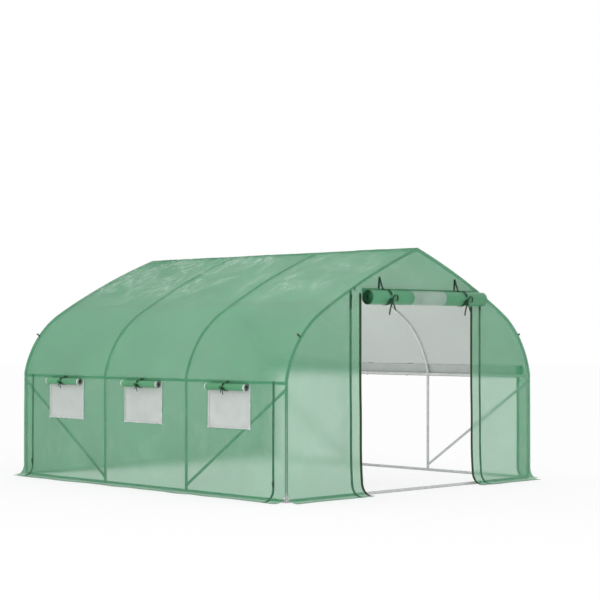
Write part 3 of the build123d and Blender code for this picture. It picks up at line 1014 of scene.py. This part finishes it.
def shoulderBolt(name, spot, direction):
    # a shank that flares into a head with a slightly raised crown
    clearSelection()
    bpy.ops.mesh.primitive_cylinder_add(vertices=boltLook["sides"], radius=boltLook["shank"],
                                        depth=boltLook["long"])
    bolt = nameNew(name)
    editFaces(bolt, lambda face: face.normal.z > facing)
    wider = boltLook["head"] / boltLook["shank"]
    bpy.ops.mesh.extrude_region_move(TRANSFORM_OT_translate={"value": (0, 0, boltLook["flare"])})
    bpy.ops.transform.resize(value=(wider, wider, 1))
    bpy.ops.mesh.extrude_region_move(TRANSFORM_OT_translate={"value": (0, 0, boltLook["cap"])})
    bpy.ops.transform.resize(value=(boltLook["taper"], boltLook["taper"], 1))
    bpy.ops.mesh.inset(thickness=boltLook["rim"])
    bpy.ops.transform.translate(value=(0, 0, boltLook["crown"]))
    setMode("OBJECT")
    softenEdges(bolt, boltLook["soft"], limit_method="ANGLE")
    bolt.location = spot + direction * (boltLook["long"] / 2 - boltLook["bury"])
    bolt.rotation_euler = direction.to_track_quat("Z", "Y").to_euler()
    bpy.ops.object.transform_apply(location=True, rotation=True, scale=True)
    bpy.ops.object.shade_smooth_by_angle(angle=boltSmooth)
    bolt.data.materials.append(boltSteel)
    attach(bolt, "root")


boltTurn = math.asin((boltLook["height"] - bendZ) / bendRadius)
for side, sign in sides.items():
    for end, along in (("front", hoopLines[0]), ("back", hoopLines[-1])):
        out = Vector((sign * math.cos(boltTurn), 0, math.sin(boltTurn)))
        spot = Vector((sign * bendX, along, bendZ)) + bendRadius * out
        shoulderBolt("bolt_" + side + "_" + end, spot, out)

stitchLook = {"x": 0.75, "drop": 0.026, "arm": 0.017, "wide": 0.0035, "deep": 0.0012, "proud": 0.0022,
              "rise": 0.0012}
stitchUp = archHeight(stitchLook["x"]) - stitchLook["drop"]
for side, sign in sides.items():
    middle = facePoint("front", sign * stitchLook["x"], stitchLook["proud"], stitchUp)
    rise = faceOut["front"] * stitchLook["rise"]
    threads = []
    for slope in (-1, 1):
        arm = Vector((slope, 0, 1)) * stitchLook["arm"]
        across = Vector((arm.z, 0, -arm.x)).normalized()
        points = [middle - arm, middle - arm * 0.4 + rise, middle + arm * 0.4 + rise, middle + arm]
        line = smoothLine(points, steps=4)
        threads.append(strapPiece("stitch", line, across, stitchLook["wide"], stitchLook["deep"], tieWeb))
    joinPieces("stitch_" + side, threads)

pullLook = {"wide": 0.014, "tall": 0.026, "deep": 0.007, "waist": 0.6, "rim": 0.0028, "bridge": 0.0028,
            "soft": 0.001, "proud": 0.004}
tabLook = {"wide": 0.011, "deep": 0.0014, "sway": 0.018, "kick": 0.004}


def zipPull(name, face, along, up, tabLong):
    # a slider with a narrower nose, and its webbing tab
    clearSelection()
    bpy.ops.mesh.primitive_cube_add(size=1)
    slider = nameNew(name + "_slider")
    setMode("EDIT")
    bpy.ops.transform.resize(value=(pullLook["wide"], pullLook["deep"], pullLook["tall"]))
    setMode("OBJECT")
    editFaces(slider, lambda part: part.normal.z > facing)
    bpy.ops.transform.resize(value=(pullLook["waist"], 1, 1))
    setMode("OBJECT")
    editFaces(slider, lambda part: part.normal.y < -facing)
    bpy.ops.mesh.inset(thickness=pullLook["rim"])
    bpy.ops.mesh.extrude_region_move(TRANSFORM_OT_translate={"value": (0, -pullLook["bridge"], 0)})
    setMode("OBJECT")
    softenEdges(slider, pullLook["soft"])
    spot = facePlace(face, along, wallOver(up), pullLook["proud"] + pullLook["deep"] / 2)
    slider.rotation_euler.z = {"front": 0, "left": -math.pi / 2, "right": math.pi / 2}[face]
    slider.location = spot
    bpy.ops.object.transform_apply(location=True, rotation=True, scale=True)
    slider.data.materials.append(sliderPaint)
    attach(slider, "root")
    axis, out = faceAlong[face], faceOut[face]
    fall = -zWay * tabLong
    sway = -axis * tabLook["sway"]
    kick = out * tabLook["kick"]
    hang = spot + out * pullLook["deep"] / 2
    line = smoothLine([hang, hang + fall * 0.12 + kick, hang + fall * 0.5 + sway * 0.4 + kick * 0.5,
                       hang + fall + sway * 0.2], steps=5)
    tab = strapPiece(name + "_tab", line, axis, tabLook["wide"], tabLook["deep"], tieWeb)
    joinPieces(name, [slider, tab])


# where each slider stands and how long its tab is
endGap = {"front": 0.03, "left": 0.05, "right": 0.02}
zipEnds = {
    "front": {"up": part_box("door_zips")[1].z - endGap["front"], "tabLong": 0.115},
    "left": {"up": footTop + endGap["left"], "tabLong": 0.035},
    "right": {"up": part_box("right_zips")[1].z - endGap["right"], "tabLong": 0.05},
}
for node, face in (("door_zips", "front"), ("left_zips", "left"), ("right_zips", "right")):
    for place, span in zip(("low", "high"), ranges(node, xAxis if face == "front" else yAxis)):
        zipPull(node + "_pull_" + place, face, sum(span) / 2, **zipEnds[face])
print("fittings added")


# Floor, light and camera

def backdropRays(owner):
    # 1 for rays that show the backdrop: from the camera, off gloss and through film
    path = addNode(owner, "LightPath", {})
    direct = addMath(owner, "MAXIMUM", (path, "Is Camera Ray"), (path, "Is Glossy Ray"))
    return addMath(owner, "MAXIMUM", (direct, "Value"), (path, "Is Transmission Ray"))


floorLook = {"colour": (0.95, 0.95, 0.95), "roughness": 0.9, "size": 90.0, "share": 0.72, "glow": 1.045}


def layFloor():
    # white to the camera, with a share left for the shadow
    clearSelection()
    bpy.ops.mesh.primitive_plane_add(size=floorLook["size"])
    floor = nameNew("floor")
    finish, shader = newFinish("studio_floor", floorLook["colour"], floorLook["roughness"])
    share = addMath(finish, "MULTIPLY", (backdropRays(finish), "Value"), floorLook["share"])
    glow = addNode(finish, "Emission", {}, Color=(1, 1, 1, 1), Strength=floorLook["glow"])
    blend = addBlend(finish, (share, "Value"), (shader, "BSDF"), (glow, "Emission"))
    wire(finish, blend, "Shader", finish.node_tree.nodes["Material Output"], "Surface")
    floor.data.materials.append(finish)


skyLook = {"light": 0.85, "white": 1.0}


def lightSky():
    world = bpy.data.worlds.new("studio")
    world.use_nodes = True
    bpy.context.scene.world = world
    sky = world.node_tree.nodes["Background"]
    sky.inputs["Color"].default_value = (1, 1, 1, 1)
    sky.inputs["Strength"].default_value = skyLook["light"]
    white = addNode(world, "Background", {}, Color=(1, 1, 1, 1), Strength=skyLook["white"])
    blend = addBlend(world, (backdropRays(world), "Value"), (sky, "Background"), (white, "Background"))
    wire(world, blend, "Shader", world.node_tree.nodes["World Output"], "Surface")


keyLamp = {"power": 150.0, "size": (6.0, 4.0), "place": (-9.4, -7.1, 3.4), "target": (0, 0, 0.8)}
insideLamp = {"power": 12.0, "size": (3.0, 1.1), "place": (0, 0, 1.25), "target": (1.0, 0, 1.4)}
insideLampUp = {"power": 12.0, "size": (1.6, 3.0), "place": (0, 0, 0.5), "target": (0, 0, 1.5)}


def hangLamp(name, look, glossy):
    clearSelection()
    bpy.ops.object.light_add(type="AREA", location=look["place"])
    lamp = bpy.context.object
    lamp.name = name
    lamp.data.energy = look["power"]
    lamp.data.shape = "RECTANGLE"
    lamp.data.size, lamp.data.size_y = look["size"]
    aim = Vector(look["target"]) - Vector(look["place"])
    lamp.rotation_euler = aim.to_track_quat("-Z", "Y").to_euler()
    lamp.visible_camera = False
    lamp.visible_transmission = False
    lamp.visible_glossy = glossy


cameraLook = {"place": (-10.056, -10.694, 1.299), "yaw": -44.163, "focus": 97.67, "sensor": 36.0,
              "rise": 0.0545, "clip": 200.0}


def setCamera():
    data = bpy.data.cameras.new("camera")
    camera = bpy.data.objects.new("camera", data)
    bpy.context.scene.collection.objects.link(camera)
    camera.location = cameraLook["place"]
    camera.rotation_euler = (math.radians(90), 0, math.radians(cameraLook["yaw"]))
    data.lens = cameraLook["focus"]
    data.sensor_width = cameraLook["sensor"]
    data.shift_y = cameraLook["rise"]
    data.clip_end = cameraLook["clip"]
    bpy.context.scene.camera = camera


layFloor()
lightSky()
hangLamp("key_lamp", keyLamp, glossy=True)
hangLamp("inside_lamp", insideLamp, glossy=False)
hangLamp("inside_lamp_up", insideLampUp, glossy=False)
setCamera()
bpy.context.scene.view_settings.view_transform = "Standard"
print("stage set")
